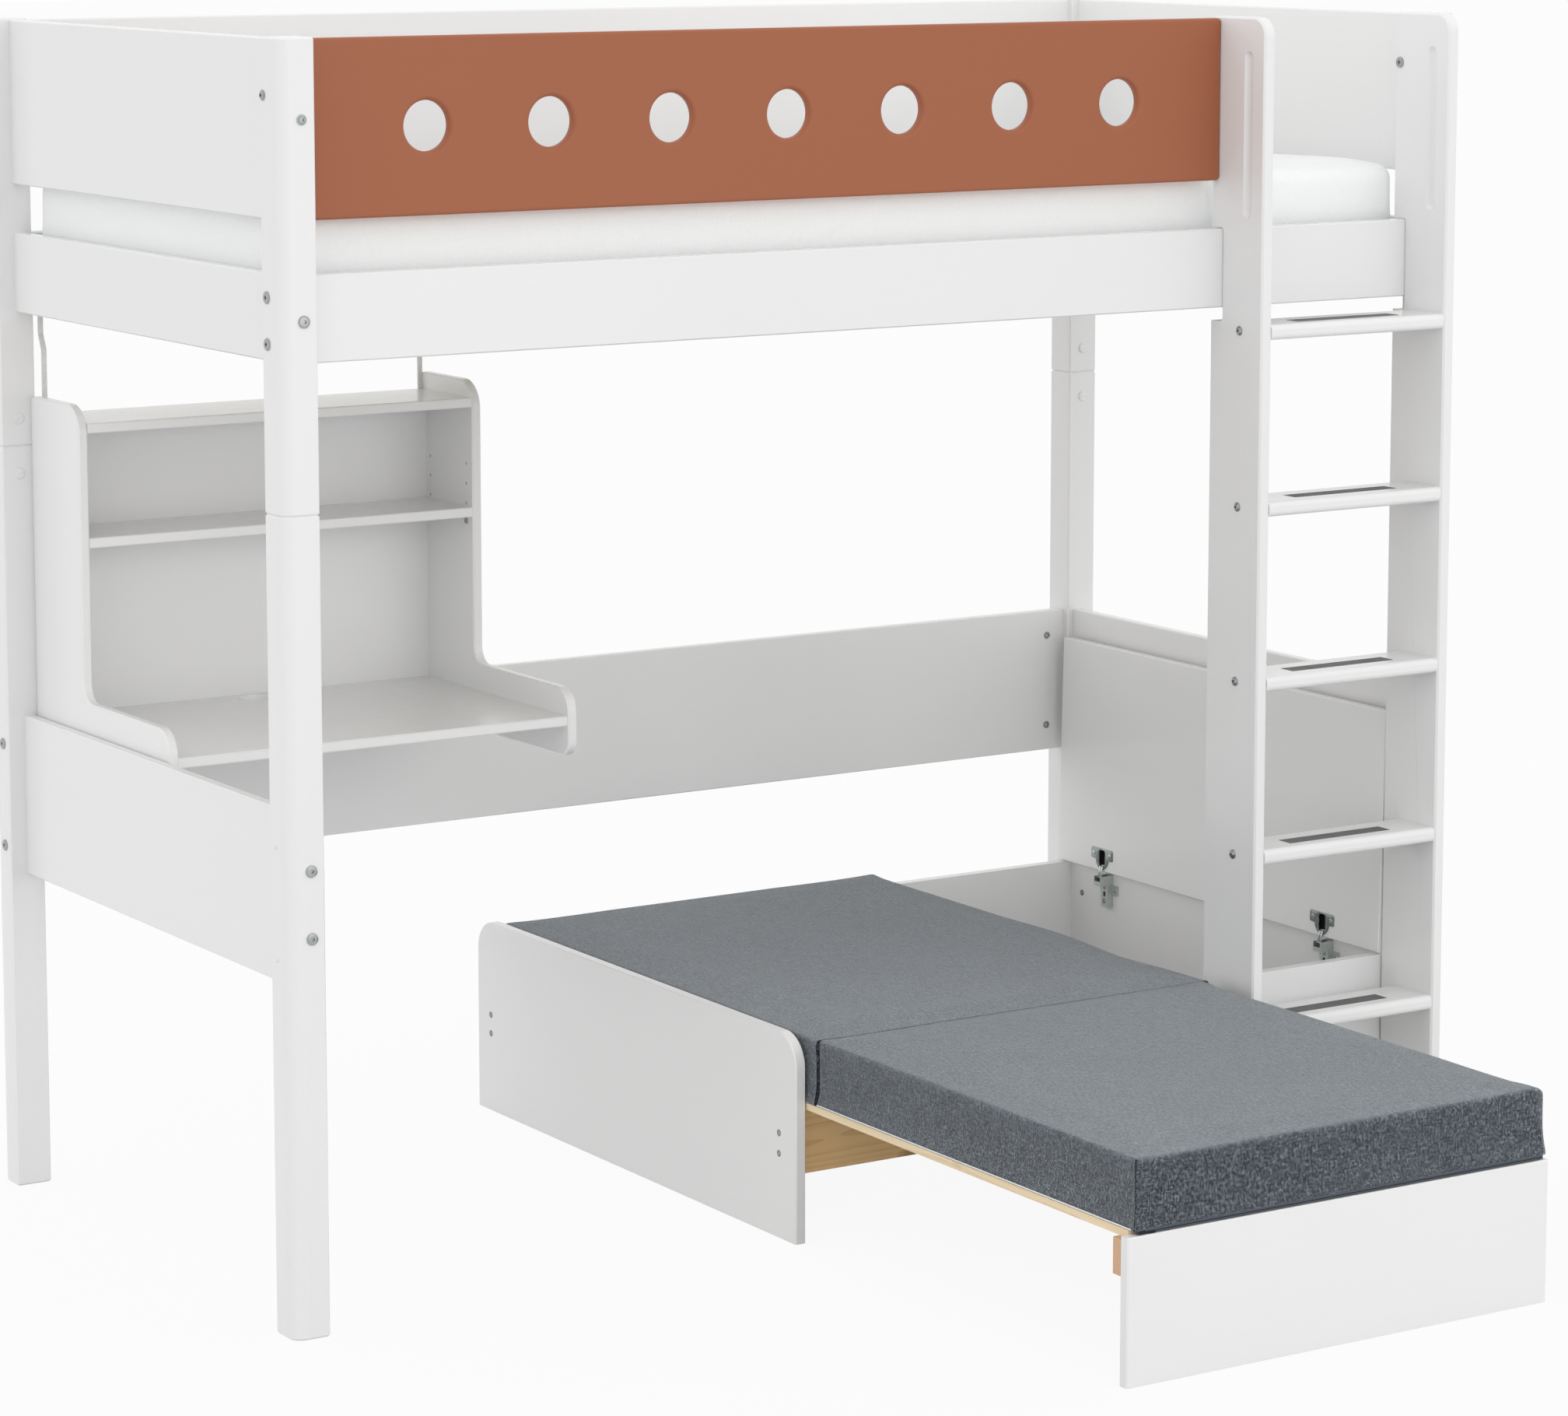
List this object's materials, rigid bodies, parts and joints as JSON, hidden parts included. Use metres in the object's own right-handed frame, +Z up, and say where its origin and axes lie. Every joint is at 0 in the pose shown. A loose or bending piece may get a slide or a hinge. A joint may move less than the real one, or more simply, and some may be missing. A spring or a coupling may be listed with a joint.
{
  "type": "loft bed",
  "caption": "Loft bed with a ladder, a hang-on desk with shelves, a sofa with a pull-out guest bed and folding mattress, and a lidded storage box underneath.",
  "frame": {"origin": "middle of the bounding box's underside, on the floor", "axes": "+X along the bed's long side towards the ladder and storage box, -Y to the open front that the guest bed is drawn out to, +Z up"},
  "size_m": [2.096, 1.827, 1.841],
  "materials": {
    "white": "satin white lacquer",
    "terracotta": "satin terracotta lacquer",
    "pine": "bare pine",
    "grey_cover": "grey melange twill",
    "white_cover": "white knitted cover",
    "steel": "zinc and nickel plated",
    "white_steel": "white powder coat",
    "grip": "gritty anti-slip strip"
  },
  "bodies": {
    "bed": {"post_front_left": "white", "post_front_right": "white", "post_back_left": "white", "post_back_right": "white", "leg_front_left": "white", "leg_front_right": "white", "leg_back_left": "white", "leg_back_right": "white", "bed_rail_front": "white", "bed_rail_back": "white", "end_rail_left": "white", "end_rail_right": "white", "end_guard_left": "white", "end_guard_right": "white", "back_guard": "white", "end_panel_left": "white", "end_panel_right": "white", "back_panel": "white", "ladder_stringer_left": "white", "ladder_stringer_right": "white", "ladder_rung_1": "white", "ladder_rung_2": "white", "ladder_rung_3": "white", "ladder_rung_4": "white", "ladder_rung_5": "white", "desk_side_left": "white", "desk_side_right": "white", "desk_top": "white", "desk_back": "white", "desk_shelf_upper": "white", "desk_shelf_lower": "white", "sofa_side": "white", "sofa_partition": "white", "box_front": "white", "box_back": "white", "box_end": "white", "box_floor": "white", "front_guard": "terracotta", "slat_ledgers": "pine", "bed_slats": "pine", "sofa_cross_boards": "pine", "sofa_slats": "pine", "leg_dowels": "pine", "sofa_mattress_rear": "grey_cover", "bed_mattress": "white_cover", "shelf_clips": "steel", "hinge_arms": "steel", "desk_hangers": "white_steel", "rung_grips": "grip"},
    "guest_bed": {"guest_front": "white", "guest_battens": "pine", "guest_slats": "pine"},
    "folding_section": {"sofa_mattress_front": "grey_cover"},
    "lid_links": {"hinge_links": "steel"},
    "lid": {"storage_lid": "white", "hinge_cups": "steel"}
  },
  "joints": [
    {"name": "guest_bed_slide", "type": "slide", "parent": "bed", "child": "guest_bed", "axis": [0, 1, 0], "range_m": [0, 0.791]},
    {"name": "mattress_fold", "type": "hinge", "parent": "bed", "child": "folding_section", "pos_m": [0.20825, -0.1035, 0.3254], "axis": [-1, 0, 0], "range_deg": [0, 178]},
    {"name": "link_swing", "type": "hinge", "parent": "bed", "child": "lid_links", "pos_m": [0.9621, 0.395, 0.29556], "axis": [0, -1, 0], "range_deg": [-33.55, 0]},
    {"name": "lid_swing", "type": "hinge", "parent": "lid_links", "child": "lid", "pos_m": [0.96862, 0.395, 0.31541], "axis": [0, -1, 0], "range_deg": [0, 124.87]}
  ],
  "couplings": [
    {"joint": "lid_swing", "follows": "link_swing", "ratio": -3.721}
  ]
}
